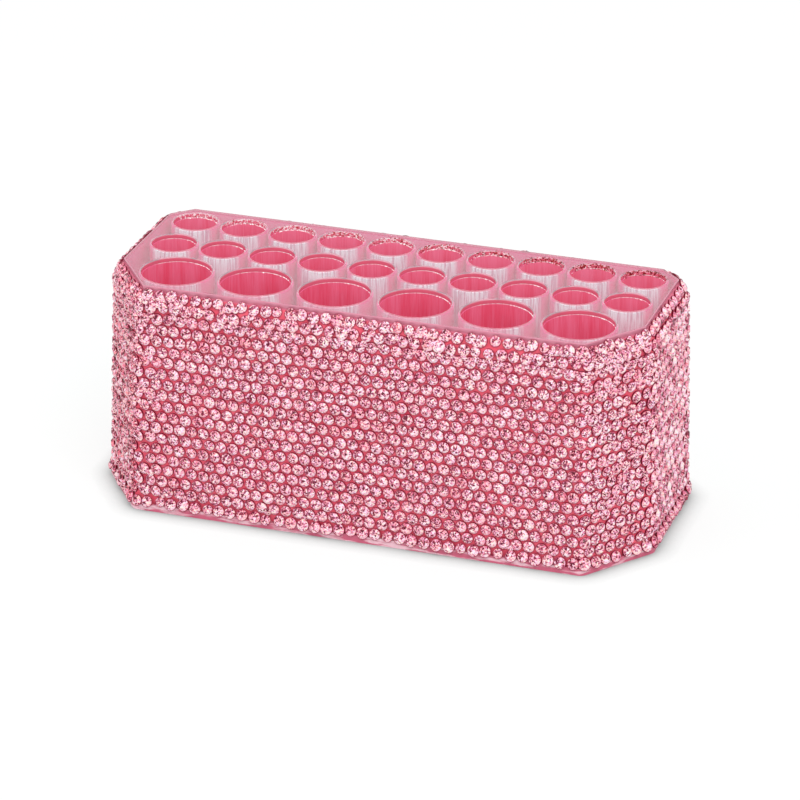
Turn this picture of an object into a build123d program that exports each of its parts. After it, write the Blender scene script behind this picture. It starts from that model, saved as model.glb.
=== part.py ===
from build123d import *

import os
from math import cos, hypot, radians, sin

# Makeup brush holder: an eight-sided case of clear pink acrylic sheet with a pierced
# top plate, round socket tubes standing inside it on a base plate, and rhinestones glued
# in level courses round the outside of its walls.
# +Z is up and the front faces -Y. The origin is the middle of the underside.

os.makedirs("parts", exist_ok=True)

# Sockets: bores, how many stand in a row and the air between neighbouring tubes. The tubes
# repeat so often that each is drawn with flats, which leave its wall within 0.04 mm of round.
small_socket_diameter = 18.0
large_socket_diameter = 28.3
small_socket_count = 10
large_socket_count = 6
tube_wall = 1.0
tube_flat_count = 36
small_tube_gap = 1.06
large_tube_gap = 2.95
back_row_gap = 4.3
front_row_gap = 2.45

# Air between the outermost tubes and the walls, measured at the top of the walls
side_clearance = 2.43
back_clearance = 2.2
front_clearance = 2.45
front_corner_clearance = 0.65
back_corner_clearance = 2.0

# Case: plates, leaning walls and the angles from +X at which the walls face
overall_height = 95.0
top_plate_thickness = 2.0
top_plate_edge_break = 0.4
base_plate_thickness = 3.0
base_lip = 1.35
base_corner_radius = 4.0
wall_thickness = 4.0
wall_ledge = 0.8
wall_flare = 2.5
shoulder_drop = 4.5
shoulder_inset = 2.2
front_angle = -90.0
back_angle = 90.0
left_angle = 180.0
front_corner_angle = 36.3
back_corner_angle = 45.0

# Rhinestones: level courses of stones, glued to the walls and over their shoulder. As many
# courses as come nearest to this pitch are laid, from the first one at the walls' foot to the
# last one, which is set back from the walls' top edge.
nearest_course_pitch = 4.66
first_course_rise = 1.1
last_course_setback = 1.7
stone_height = 1.6
seam_depth = 1.3
plate_edge_gap = 0.3
top_course_rise = 0.5

# Tubes and rows
small_tube_radius = small_socket_diameter / 2 + tube_wall
large_tube_radius = large_socket_diameter / 2 + tube_wall
small_pitch = 2 * small_tube_radius + small_tube_gap
large_pitch = 2 * large_tube_radius + large_tube_gap
small_row_length = small_pitch * (small_socket_count - 1) + 2 * small_tube_radius
large_row_length = large_pitch * (large_socket_count - 1) + 2 * large_tube_radius
back_to_middle = 2 * small_tube_radius + back_row_gap
middle_to_front = small_tube_radius + front_row_gap + large_tube_radius

# Plate outline, level heights and the rows' places in it
plate_length = max(small_row_length, large_row_length) + 2 * (side_clearance + wall_ledge)
back_margin = wall_ledge + back_clearance + small_tube_radius
front_margin = wall_ledge + front_clearance + large_tube_radius
plate_depth = back_margin + back_to_middle + middle_to_front + front_margin
back_row_y = plate_depth / 2 - back_margin
middle_row_y = back_row_y - back_to_middle
front_row_y = middle_row_y - middle_to_front
plate_underside = overall_height - top_plate_thickness
wall_height = plate_underside - base_plate_thickness
tube_length = wall_height
shoulder_height = plate_underside - shoulder_drop

# How far outside the plate's outline the walls' outer faces stand, from foot to top
wall_lean = wall_flare / wall_height
top_reach = wall_thickness - wall_ledge
foot_reach = top_reach + wall_flare
shoulder_reach = top_reach + wall_lean * shoulder_drop
shoulder_top_reach = top_reach - shoulder_inset

# The walls' outer face, measured along itself: straight up to the shoulder and then its slope
straight_rise = shoulder_height - base_plate_thickness
straight_run = foot_reach - shoulder_reach
straight_length = hypot(straight_run, straight_rise)
slope_run = shoulder_reach - shoulder_top_reach
slope_length = hypot(slope_run, shoulder_drop)
course_length = straight_length + slope_length - first_course_rise - last_course_setback
course_count = round(course_length / nearest_course_pitch) + 1
course_pitch = course_length / (course_count - 1)


def corner_side_distance(facing, centre_x, centre_y, standoff):
    """Distance from the origin to a corner side that stands off from a corner tube's centre."""
    along = centre_x * cos(radians(facing)) + centre_y * sin(radians(facing))
    return along + standoff


front_corner_distance = corner_side_distance(
    front_corner_angle,
    large_pitch * (large_socket_count - 1) / 2,
    -front_row_y,
    large_tube_radius + front_corner_clearance + wall_ledge,
)
back_corner_distance = corner_side_distance(
    back_corner_angle,
    small_pitch * (small_socket_count - 1) / 2,
    back_row_y,
    small_tube_radius + back_corner_clearance + wall_ledge,
)

# The plate's eight sides in order round it: name, direction faced, distance from the origin
sides = [
    ("front", front_angle, plate_depth / 2),
    ("front_right", -front_corner_angle, front_corner_distance),
    ("right", 0, plate_length / 2),
    ("back_right", back_corner_angle, back_corner_distance),
    ("back", back_angle, plate_depth / 2),
    ("back_left", left_angle - back_corner_angle, back_corner_distance),
    ("left", left_angle, plate_length / 2),
    ("front_left", left_angle + front_corner_angle, front_corner_distance),
]


def corner(index, reach):
    """Corner after side `index` of the plate's outline, once every side moves out by `reach`."""
    _, facing, distance = sides[index]
    _, next_facing, next_distance = sides[(index + 1) % len(sides)]
    cos_a, sin_a = cos(radians(facing)), sin(radians(facing))
    cos_b, sin_b = cos(radians(next_facing)), sin(radians(next_facing))
    out_a, out_b = distance + reach, next_distance + reach
    turn = cos_a * sin_b - sin_a * cos_b
    return ((out_a * sin_b - out_b * sin_a) / turn, (out_b * cos_a - out_a * cos_b) / turn)


def outline(reach):
    """All eight corners of the outline that lies `reach` outside the plate's own."""
    return [corner(index, reach) for index in range(len(sides))]


def row_centres(count, pitch, row_y):
    """Tube centres of one row, from left to right."""
    first_x = -pitch * (count - 1) / 2
    return [(first_x + pitch * step, row_y) for step in range(count)]


back_row = row_centres(small_socket_count, small_pitch, back_row_y)
middle_row = row_centres(small_socket_count, small_pitch, middle_row_y)
front_row = row_centres(large_socket_count, large_pitch, front_row_y)


def build_top_plate():
    """Flat sheet with all the sockets' mouths cut through and its upper edge broken."""
    with BuildPart() as top_plate:
        with BuildSketch(Plane.XY.offset(plate_underside)):
            with BuildLine():
                Polyline(*outline(0), close=True)
            make_face()
        extrude(amount=top_plate_thickness)
        chamfer(top_plate.faces().sort_by(Axis.Z)[-1].edges(), length=top_plate_edge_break)
        with BuildSketch(Plane.XY.offset(plate_underside)):
            with Locations(*back_row, *middle_row):
                Circle(small_socket_diameter / 2)
            with Locations(*front_row):
                Circle(large_socket_diameter / 2)
        extrude(amount=top_plate_thickness, mode=Mode.SUBTRACT)
    top_plate.part.label = "top_plate"
    export_step(top_plate.part, "parts/top_plate.step")


def build_base_plate():
    """Flat sheet with rounded corners, the floor of every socket, a lip wider than the walls."""
    with BuildPart() as base_plate:
        with BuildSketch():
            with BuildLine():
                Polyline(*outline(foot_reach + base_lip), close=True)
            make_face()
        extrude(amount=base_plate_thickness)
        fillet(base_plate.edges().filter_by(Axis.Z), radius=base_corner_radius)
    base_plate.part.label = "base_plate"
    export_step(base_plate.part, "parts/base_plate.step")


def mitre_plane(index):
    """Upright plane through the corner after side `index`, facing on round the case."""
    x, y = corner(index, 0)
    outer_x, outer_y = corner(index, wall_thickness)
    return Plane(origin=(x, y, 0), z_dir=(y - outer_y, outer_x - x, 0))


def side_plane(index):
    """Upright plane across side `index`: X is the reach outside the plate's outline, Y the height."""
    _, facing, distance = sides[index]
    out_x, out_y = cos(radians(facing)), sin(radians(facing))
    return Plane(
        origin=(distance * out_x, distance * out_y, 0),
        x_dir=(out_x, out_y, 0),
        z_dir=(out_y, -out_x, 0),
    )


def build_mitred_side(index, kind, profile):
    """A length of one profile along side `index`, cut off in the mitres at its two corners."""
    with BuildPart() as mitred_side:
        with BuildSketch(side_plane(index)):
            with BuildLine():
                Polyline(*profile, close=True)
            make_face()
        extrude(amount=plate_length, both=True)
        split(bisect_by=mitre_plane(index), keep=Keep.BOTTOM)
        split(bisect_by=mitre_plane(index - 1), keep=Keep.TOP)
    mitred_side.part.label = f"{sides[index][0]}_{kind}"
    export_step(mitred_side.part, f"parts/{mitred_side.part.label}.step")


def build_socket_tube(label, centre, bore_diameter):
    """One open tube, glued between the base plate and the underside of the top plate."""
    with BuildPart() as socket_tube:
        with BuildSketch(Plane.XY.offset(base_plate_thickness)):
            with Locations(centre):
                RegularPolygon(bore_diameter / 2 + tube_wall, tube_flat_count)
                RegularPolygon(
                    bore_diameter / 2, tube_flat_count, major_radius=False, mode=Mode.SUBTRACT
                )
        extrude(amount=tube_length)
    socket_tube.part.label = label
    export_step(socket_tube.part, f"parts/{label}.step")


# A wall's section: it leans out to its foot and slopes in to the top plate at its shoulder
wall_profile = [
    (foot_reach - wall_thickness, base_plate_thickness),
    (foot_reach, base_plate_thickness),
    (shoulder_reach, shoulder_height),
    (shoulder_top_reach, plate_underside),
    (top_reach - wall_thickness, plate_underside),
]


def stone_place(distance, standoff):
    """Point `standoff` out from the walls' outer face, `distance` up along it from the foot."""
    if distance <= straight_length:
        share = distance / straight_length
        reach = foot_reach - straight_run * share + straight_rise / straight_length * standoff
        height = base_plate_thickness + straight_rise * share
        return (reach, height + straight_run / straight_length * standoff)
    share = (distance - straight_length) / slope_length
    reach = shoulder_reach - slope_run * share + shoulder_drop / slope_length * standoff
    height = shoulder_height + shoulder_drop * share
    return (reach, height + slope_run / slope_length * standoff)


def stone_profile():
    """Section of the rhinestones on one side, as (reach, height) points round its outline.

    Each course is a ridge as high as a stone, and the seam between two courses is lower. The
    top course leans over the wall's upper edge as far as the top plate's.
    """
    seam_height = stone_height - seam_depth
    points = [(foot_reach + seam_height, base_plate_thickness)]
    for course in range(course_count):
        crest = first_course_rise + course_pitch * course
        if course > 0:
            points.append(stone_place(crest - course_pitch / 2, seam_height))
        points.append(stone_place(crest, stone_height))
    points.append((plate_edge_gap, plate_underside + top_course_rise))
    points.append((plate_edge_gap, plate_underside))
    points.append((shoulder_top_reach, plate_underside))
    points.append((shoulder_reach, shoulder_height))
    points.append((foot_reach, base_plate_thickness))
    return points


build_top_plate()
build_base_plate()
for side_index in range(len(sides)):
    build_mitred_side(side_index, "wall", wall_profile)
    build_mitred_side(side_index, "stones", stone_profile())
for number, centre in enumerate(back_row, start=1):
    build_socket_tube(f"back_tube_{number:02d}", centre, small_socket_diameter)
for number, centre in enumerate(middle_row, start=1):
    build_socket_tube(f"middle_tube_{number:02d}", centre, small_socket_diameter)
for number, centre in enumerate(front_row, start=1):
    build_socket_tube(f"front_tube_{number}", centre, large_socket_diameter)
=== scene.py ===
"""Looks of the makeup brush holder: clear pink acrylic, socket tubes and rhinestones.

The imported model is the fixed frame. The top plate, the tubes and the stones are finer pieces
that stand in for their nodes, and the walls and the base plate are the nodes themselves with a
better finish. All lengths are in metres, in the frame of the model: +Z is up, the front faces
-Y and the origin is the middle of the underside.
"""

import logging
import math
from dataclasses import dataclass, field
from enum import Enum
from functools import reduce
from typing import Any, Sequence

import bpy
import numpy as np
from mathutils import Matrix, Vector
from mathutils.geometry import tessellate_polygon


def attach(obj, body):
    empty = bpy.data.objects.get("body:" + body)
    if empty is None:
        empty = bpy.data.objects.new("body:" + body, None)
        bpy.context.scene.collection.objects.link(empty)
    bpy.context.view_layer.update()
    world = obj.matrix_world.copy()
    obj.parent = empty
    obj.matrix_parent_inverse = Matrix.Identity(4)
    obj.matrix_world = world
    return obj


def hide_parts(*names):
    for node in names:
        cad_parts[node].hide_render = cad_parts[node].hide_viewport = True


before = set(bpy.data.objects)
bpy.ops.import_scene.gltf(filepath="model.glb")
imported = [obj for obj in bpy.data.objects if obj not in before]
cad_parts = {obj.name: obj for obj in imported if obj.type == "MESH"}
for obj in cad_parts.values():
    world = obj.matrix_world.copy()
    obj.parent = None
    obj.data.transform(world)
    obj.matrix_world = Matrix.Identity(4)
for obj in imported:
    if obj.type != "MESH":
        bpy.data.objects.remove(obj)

Material = bpy.types.Material
Node = bpy.types.Node
Socket = bpy.types.NodeSocket
Place = tuple[float, float, float]
Span = tuple[float, float]
Tint = tuple[float, float, float, float]
Stops = Sequence[tuple[float, Tint]]

LOG = logging.getLogger("brush_holder")
MM = 0.001
BODY = "root"
SIDE_COUNT = 8
ACRYLIC_IOR = 1.49
WHITE: Tint = (1.0, 1.0, 1.0, 1.0)


def linear(red: float, green: float, blue: float) -> Tint:
    """Scene-linear RGBA of a colour seen as these 0 to 255 display values.

    Each channel c becomes ((c + 0.055) / 1.055) to the power 2.4, or c / 12.92 near black.

    Args:
        red: Display value of the red channel.
        green: Display value of the green channel.
        blue: Display value of the blue channel.

    Returns:
        The colour for a shader socket, with an alpha of 1.
    """
    shares = [channel / 255 for channel in (red, green, blue)]
    parts = [c / 12.92 if c <= 0.04045 else ((c + 0.055) / 1.055) ** 2.4 for c in shares]
    return (parts[0], parts[1], parts[2], 1.0)


class NodeBench:
    """The nodes of a material or a world, with short calls to add and join them."""

    def __init__(self, name: str, world: bool = False) -> None:
        """Starts a new material or world without nodes.

        Args:
            name: Its name.
            world: Whether it is a world.
        """
        self.kind = "World" if world else "Material"
        owner = (bpy.data.worlds if world else bpy.data.materials).new(name)
        owner.use_nodes = True
        self.owner = owner
        self.tree = owner.node_tree
        self.tree.nodes.clear()

    def feed(self, node: Node, socket: str | int, value: Any) -> None:
        """Sets one input of a node to a value, or joins an output socket to it.

        Args:
            node: The node.
            socket: Name or number of its input.
            value: A value or an output socket.
        """
        if isinstance(value, Socket):
            self.tree.links.new(value, node.inputs[socket])
        else:
            node.inputs[socket].default_value = value

    def add(
        self, kind: str, *values: Any, settings: dict[str, Any] | None = None, **inputs: Any
    ) -> Node:
        """Adds a node, sets its properties and fills its inputs.

        Args:
            kind: Blender's name of the node type.
            *values: Its first inputs in order, as values or output sockets.
            settings: Properties of the node itself.
            **inputs: Further inputs by name, with _ for a space.

        Returns:
            The new node.
        """
        node = self.tree.nodes.new(kind)
        for key, value in (settings or {}).items():
            setattr(node, key, value)
        for index, value in enumerate(values):
            self.feed(node, index, value)
        for key, value in inputs.items():
            self.feed(node, key.replace("_", " "), value)
        return node

    def maths(self, operation: str, *values: Any, clamp: bool = False) -> Socket:
        """Adds a Math node on the given values and returns its result."""
        settings = {"operation": operation, "use_clamp": clamp}
        return self.add("ShaderNodeMath", *values, settings=settings).outputs[0]

    def rise(self, value: Any, start: float, end: float) -> Socket:
        """Returns what rises from 0 to 1 while the value goes from start to end."""
        way = end - start
        return self.maths("MULTIPLY_ADD", value, 1 / way, -start / way, clamp=True)

    def most(self, *values: Any) -> Socket:
        """Returns the greatest of several values."""
        return reduce(lambda most, value: self.maths("MAXIMUM", most, value), values)

    def ramp(self, factor: Any, stops: Stops) -> Socket:
        """Adds a colour ramp.

        Args:
            factor: Place in the ramp.
            stops: Its places with their colours.

        Returns:
            The colour.
        """
        node = self.add("ShaderNodeValToRGB", factor)
        elements = node.color_ramp.elements
        while len(elements) < len(stops):
            elements.new(1.0)
        for element, (place, colour) in zip(elements, stops):
            element.position = place
            element.color = colour
        return node.outputs["Color"]

    def blend(self, factor: Any, first: Any, second: Any, way: str = "MIX") -> Socket:
        """Mixes two colours.

        Args:
            factor: Share of the second colour.
            first: The first colour.
            second: The second colour.
            way: Blender's name of the way in which the second is laid over the first.

        Returns:
            The mixed colour.
        """
        node = self.add("ShaderNodeMix", factor, settings={"data_type": "RGBA", "blend_type": way})
        self.feed(node, 6, first)
        self.feed(node, 7, second)
        return node.outputs[2]

    def noise(self, vector: Any, scale: float, detail: float = 2.0) -> Socket:
        """Adds a noise texture on a vector and returns its value."""
        return self.add("ShaderNodeTexNoise", Vector=vector, Scale=scale, Detail=detail).outputs[0]

    def chances(self, vector: Any, size: float) -> bpy.types.NodeOutputs:
        """Splits space into cells of this size and returns the three chances that each has."""
        cells = self.add("ShaderNodeTexVoronoi", Vector=vector, Scale=1 / size, Randomness=1.0)
        return self.add("ShaderNodeSeparateColor", Color=cells.outputs["Color"]).outputs

    def bump(self, height: Any, strength: float, distance: float) -> Socket:
        """Adds a bump and returns its normal."""
        inputs = {"Height": height, "Strength": strength, "Distance": distance}
        return self.add("ShaderNodeBump", **inputs).outputs[0]

    def place(self, scale: Place = (1.0, 1.0, 1.0)) -> Socket:
        """Returns the Object coordinates, metres in the model's frame, times a scale."""
        place = self.add("ShaderNodeTexCoord").outputs["Object"]
        return self.add("ShaderNodeMapping", Vector=place, Scale=scale).outputs[0]

    def attribute(self, name: str, output: str = "Fac") -> Socket:
        """Reads an attribute of the piece."""
        return self.add("ShaderNodeAttribute", settings={"attribute_name": name}).outputs[output]

    def looked_at(self) -> Socket:
        """Returns 1 for what the camera sees straight, in a mirror or through glass, or else 0."""
        rays = self.add("ShaderNodeLightPath").outputs
        return self.most(rays["Is Camera Ray"], rays["Is Glossy Ray"], rays["Is Transmission Ray"])

    def acrylic(self, colour: Any, roughness: Any, normal: Any, glow: float) -> Node:
        """Adds cloudy acrylic with a faint painted glow, an emission that stands in for the light
        in the case.

        Args:
            colour: Its colour.
            roughness: Its roughness.
            normal: The bumps of its surface.
            glow: Strength of the painted glow.

        Returns:
            The shader node.
        """
        return self.add(
            "ShaderNodeBsdfPrincipled",
            Base_Color=colour,
            Roughness=roughness,
            IOR=ACRYLIC_IOR,
            Specular_IOR_Level=0.15,
            Emission_Color=colour,
            Emission_Strength=glow,
            Normal=normal,
        )

    def finish(self, shader: Node) -> Material | bpy.types.World:
        """Joins a shader node to the output and returns the finished material or world."""
        self.add(f"ShaderNodeOutput{self.kind}", Surface=shader.outputs[0])
        return self.owner


@dataclass(frozen=True)
class PaintedReflections:
    """Painted reflections of the stones and glints, as many as the piece's "fleck" attribute asks
    for.

    Each takes its colour by chance. In front these are the last colours, and at the back the
    choice moves towards the first ones along X.

    Attributes:
        colours: Stops of the colours.
        size: Size of a speck.
        back_from: Y at which the back begins.
        slope: How fast the choice moves at the back, for each metre along X.
    """

    colours: Stops = (
        (0.0, linear(120, 24, 32)),
        (0.3, linear(176, 70, 56)),
        (0.45, linear(236, 120, 146)),
        (0.62, linear(250, 200, 212)),
        (0.85, linear(255, 250, 252)),
    )
    size: float = 0.55 * MM
    back_from: float = 18 * MM
    slope: float = -3.2

    def lay(self, bench: NodeBench, colour: Any, place: Any) -> Socket:
        """Lays the painted reflections over a colour.

        Args:
            bench: The nodes of the material.
            colour: The colour under the specks.
            place: Where the pattern lies.

        Returns:
            The colour with its specks.
        """
        chances = bench.chances(place, self.size)
        shown = bench.maths("GREATER_THAN", bench.attribute("fleck"), chances[0])
        split = bench.add("ShaderNodeSeparateXYZ", Vector=place).outputs
        back = bench.maths("GREATER_THAN", split["Y"], self.back_from)
        moved = bench.maths("MULTIPLY_ADD", split["X"], self.slope, -0.5)
        choice = bench.maths("MULTIPLY_ADD", moved, back, 0.5)
        choice = bench.maths("ADD", choice, chances[1], clamp=True)
        return bench.blend(shown, colour, bench.ramp(choice, self.colours))


@dataclass(frozen=True)
class ClearSheet:
    """Polished clear acrylic sheet with a tint, a faint haze and fine scratches.

    The piece's "cut" attribute is 1 on its edges and rims, where the way through the sheet is
    long and the tint is strong.

    Attributes:
        name: Name of the material.
        tint: Colour that light takes on in passing through the sheet's thickness.
        cut_tint: Colour that it takes on in passing through a cut edge.
        rim_tint: The same at the mouths' rims, where the "rim" attribute is 1.
        shade: Colour of the light that the sheet lets down into the case.
        painted_reflections: The painted reflections that sparkle on the rims.
        clear: How clear the sheet is, from 0 to 1.
        cut_clear: How clear its cut edges are.
        haze: Roughness of the polished face.
        scratches: How often the scratches repeat along X, Y and Z, for each metre.
    """

    name: str = "clear_pink_sheet"
    tint: Tint = linear(241, 229, 238)
    cut_tint: Tint = linear(217, 141, 162)
    rim_tint: Tint = linear(226, 108, 134)
    shade: Tint = (1.0, 0.985, 0.99, 1.0)
    painted_reflections: PaintedReflections = PaintedReflections()
    clear: float = 0.965
    cut_clear: float = 0.1
    haze: float = 0.02
    scratches: Place = (60.0, 900.0, 900.0)

    def make(self) -> Material:
        """Builds the material: glass for what is looked at, plain tint for lamps' light.

        Returns:
            The material.
        """
        bench = NodeBench(self.name)
        place = bench.place()
        clouds = bench.noise(place, 45.0)
        paler = tuple(min(1.0, channel * 1.02) for channel in self.tint)
        flat = bench.ramp(clouds, [(0.3, self.tint), (0.7, paler)])
        edges = bench.blend(bench.attribute("rim"), self.cut_tint, self.rim_tint)
        cut = bench.attribute("cut")
        clear = bench.maths("MULTIPLY_ADD", cut, self.cut_clear - self.clear, self.clear)
        scratches = bench.noise(bench.place(self.scratches), 1.0, 3.0)
        # The rims carry painted reflections over their tint.
        glass = bench.add(
            "ShaderNodeBsdfPrincipled",
            Base_Color=self.painted_reflections.lay(bench, bench.blend(cut, flat, edges), place),
            Roughness=bench.maths("MULTIPLY_ADD", clouds, 0.03, self.haze),
            IOR=ACRYLIC_IOR,
            Transmission_Weight=clear,
            Normal=bench.bump(scratches, 0.015, 0.1 * MM),
        )
        open_way = bench.add("ShaderNodeBsdfTransparent", Color=self.shade)
        rays = bench.add("ShaderNodeLightPath").outputs
        lamp_ray = bench.most(rays["Is Shadow Ray"], rays["Is Diffuse Ray"])
        parts = (lamp_ray, glass.outputs[0], open_way.outputs[0])
        return bench.finish(bench.add("ShaderNodeMixShader", *parts))


@dataclass(frozen=True)
class DrawnTube:
    """Pink tube with lengthwise draw marks: deep pink inside, frosted outside with painted sheen
    and shade.

    The piece's "grain" attribute turns round the tube in X and Y, rises slowly in Z and has a
    start of its own for every tube. Its "bore" attribute is 1 on the inner face and 0 outside,
    its "edge" attribute is 1 on the mouth's rounded edge, and its "front" attribute is 1 where
    the tube faces the front or the back of the case, where the outer face keeps its painted
    sheen; towards the sides it turns to painted shade.

    Attributes:
        name: Name of the material.
        inner_dark: Darkest colour of the inner face.
        inner_light: Lightest colour of the inner face.
        painted_sheen: Colour of a painted pale sheen over the inner face.
        outer_frost_and_painted_sheen: Pale colour of the outer face: its frosting and a painted
            sheen.
        outer_mark: Colour of the draw marks on it.
        outer_painted_shade: Its deep pink of painted shade at the sides, deep in the case and
            behind the front wall.
        rim: Colour of the mouth's edge.
        painted_reflections: The painted reflections that sparkle there.
        painted_sheen_span: Y from where that painted sheen grows, and where it is full.
        painted_shade_depth: Z from where the outer face grows deep in colour with painted shade,
            and where it is so.
        painted_wall_shade: Y between which the same painted shade falls behind the front wall.
        glow: Strength of the painted glow, an emission in place of light through the tube's wall.
    """

    name: str = "drawn_pink_tube"
    inner_dark: Tint = linear(222, 80, 112)
    inner_light: Tint = linear(228, 112, 144)
    painted_sheen: Tint = linear(240, 190, 215)
    outer_frost_and_painted_sheen: Tint = linear(228, 236, 234)
    outer_mark: Tint = linear(200, 142, 164)
    outer_painted_shade: Tint = linear(228, 86, 142)
    rim: Tint = linear(212, 96, 126)
    painted_reflections: PaintedReflections = PaintedReflections()
    painted_sheen_span: Span = (-20 * MM, 60 * MM)
    painted_shade_depth: Span = (93 * MM, 79 * MM)
    painted_wall_shade: Span = (-33 * MM, -38 * MM)
    glow: float = 0.12

    def make(self) -> Material:
        """Builds the material from the marks round the tube and the face they lie on.

        Returns:
            The material.
        """
        bench = NodeBench(self.name)
        place = bench.place()
        split = bench.add("ShaderNodeSeparateXYZ", Vector=place).outputs
        grain = bench.attribute("grain", "Vector")
        fine = bench.noise(grain, 14.0, 4.0)
        # Broad clouds, partly painted reflection patches, under the fine draw marks.
        broad = bench.maths("MULTIPLY", bench.noise(grain, 1.6), 0.6)
        mixed = bench.maths("ADD", broad, bench.maths("MULTIPLY", fine, 0.4))
        inner = bench.ramp(mixed, [(0.38, self.inner_dark), (0.6, self.inner_light)])
        # A painted pale sheen over the inner face, growing towards the back.
        haze = bench.maths("MULTIPLY", bench.rise(split["Y"], *self.painted_sheen_span), 0.2)
        inner = bench.blend(haze, inner, self.painted_sheen)
        # Outer face: frosting and a painted sheen over the draw marks, turning to the deep pink of
        # painted shade deep down, behind the front wall and at the sides.
        streaks = bench.ramp(fine, [(0.4, self.outer_mark), (0.54, self.outer_frost_and_painted_sheen)])
        painted_shade_depth = bench.maths("MULTIPLY", bench.rise(split["Z"], *self.painted_shade_depth), 0.8)
        painted_wall_shade = bench.maths("MULTIPLY", bench.rise(split["Y"], *self.painted_wall_shade), 0.62)
        sides = bench.rise(bench.attribute("front"), 0.8, 0.6)
        outer = bench.blend(bench.most(painted_shade_depth, painted_wall_shade, sides), streaks, self.outer_painted_shade)
        wall = bench.blend(bench.rise(bench.attribute("bore"), 0.6, 0.9), outer, inner)
        colour = bench.blend(bench.rise(bench.attribute("edge"), 0.2, 0.8), wall, self.rim)
        roughness = bench.maths("MULTIPLY_ADD", fine, 0.25, 0.12)
        marks = bench.bump(fine, 0.25, 0.2 * MM)
        # Painted reflections: the stones mirrored at the back of the mouths, and glints on the
        # edge.
        colour = self.painted_reflections.lay(bench, colour, place)
        # The tube glows faintly: painted light, an emission and no lamp.
        return bench.finish(bench.acrylic(colour, roughness, marks, self.glow))


@dataclass(frozen=True)
class TintedWall:
    """Crimson backing of the walls between the stones, with glue clouds, and paler inside.

    Attributes:
        name: Name of the material.
        deep: Darkest colour of the outside.
        bright: Lightest colour of the outside.
        inside: Colour of the inner face.
        ledge: Colour of the upper edge.
        glow: Strength of the painted glow, an emission in place of light through the wall.
    """

    name: str = "crimson_wall"
    deep: Tint = linear(214, 66, 90)
    bright: Tint = linear(244, 106, 126)
    inside: Tint = linear(228, 84, 142)
    ledge: Tint = linear(204, 104, 128)
    glow: float = 0.12

    def make(self) -> Material:
        """Builds the material from clouds on the outside and plain tint on the inside.

        A face looks out where its normal points the same way as its own place does, seen
        from the middle of the case, so that the product of the two is positive.

        Returns:
            The material.
        """
        bench = NodeBench(self.name)
        place = bench.place()
        clouds = bench.noise(place, 160.0, 3.0)
        outside = bench.ramp(clouds, [(0.3, self.deep), (0.7, self.bright)])
        normal = bench.add("ShaderNodeTexCoord").outputs["Normal"]
        way_out = bench.place((1.0, 1.0, 0.0))
        product = {"operation": "DOT_PRODUCT"}
        along = bench.add("ShaderNodeVectorMath", way_out, normal, settings=product)
        looks_out = bench.maths("GREATER_THAN", along.outputs["Value"], -0.001)
        colour = bench.blend(looks_out, self.inside, outside)
        upward = bench.add("ShaderNodeSeparateXYZ", Vector=normal).outputs["Z"]
        colour = bench.blend(bench.maths("GREATER_THAN", upward, 0.9), colour, self.ledge)
        roughness = bench.maths("MULTIPLY_ADD", clouds, 0.2, 0.2)
        glue = bench.bump(bench.noise(place, 700.0), 0.2, 0.2 * MM)
        # The wall glows faintly: painted light, an emission and no lamp.
        return bench.finish(bench.acrylic(colour, roughness, glue, self.glow))


@dataclass(frozen=True)
class SolidSheet:
    """Pink acrylic of the base plate: cloudy, with pale patches of glue and painted highlights.

    Attributes:
        name: Name of the material.
        deep: Colour of the sheet.
        pale: Colour of the pale patches: glue, and painted highlights.
    """

    name: str = "pink_base"
    deep: Tint = linear(206, 98, 126)
    pale: Tint = linear(240, 196, 208)

    def make(self) -> Material:
        """Builds the material from long clouds along the plate.

        Returns:
            The material.
        """
        bench = NodeBench(self.name)
        # Pale patches in long clouds: partly glue, partly painted highlights.
        clouds = bench.noise(bench.place((1.0, 1.0, 6.0)), 110.0, 4.0)
        sheet = bench.add(
            "ShaderNodeBsdfPrincipled",
            Base_Color=bench.ramp(clouds, [(0.46, self.deep), (0.6, self.pale)]),
            Roughness=bench.maths("MULTIPLY_ADD", clouds, 0.15, 0.08),
            IOR=ACRYLIC_IOR,
        )
        return bench.finish(sheet)


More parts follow.
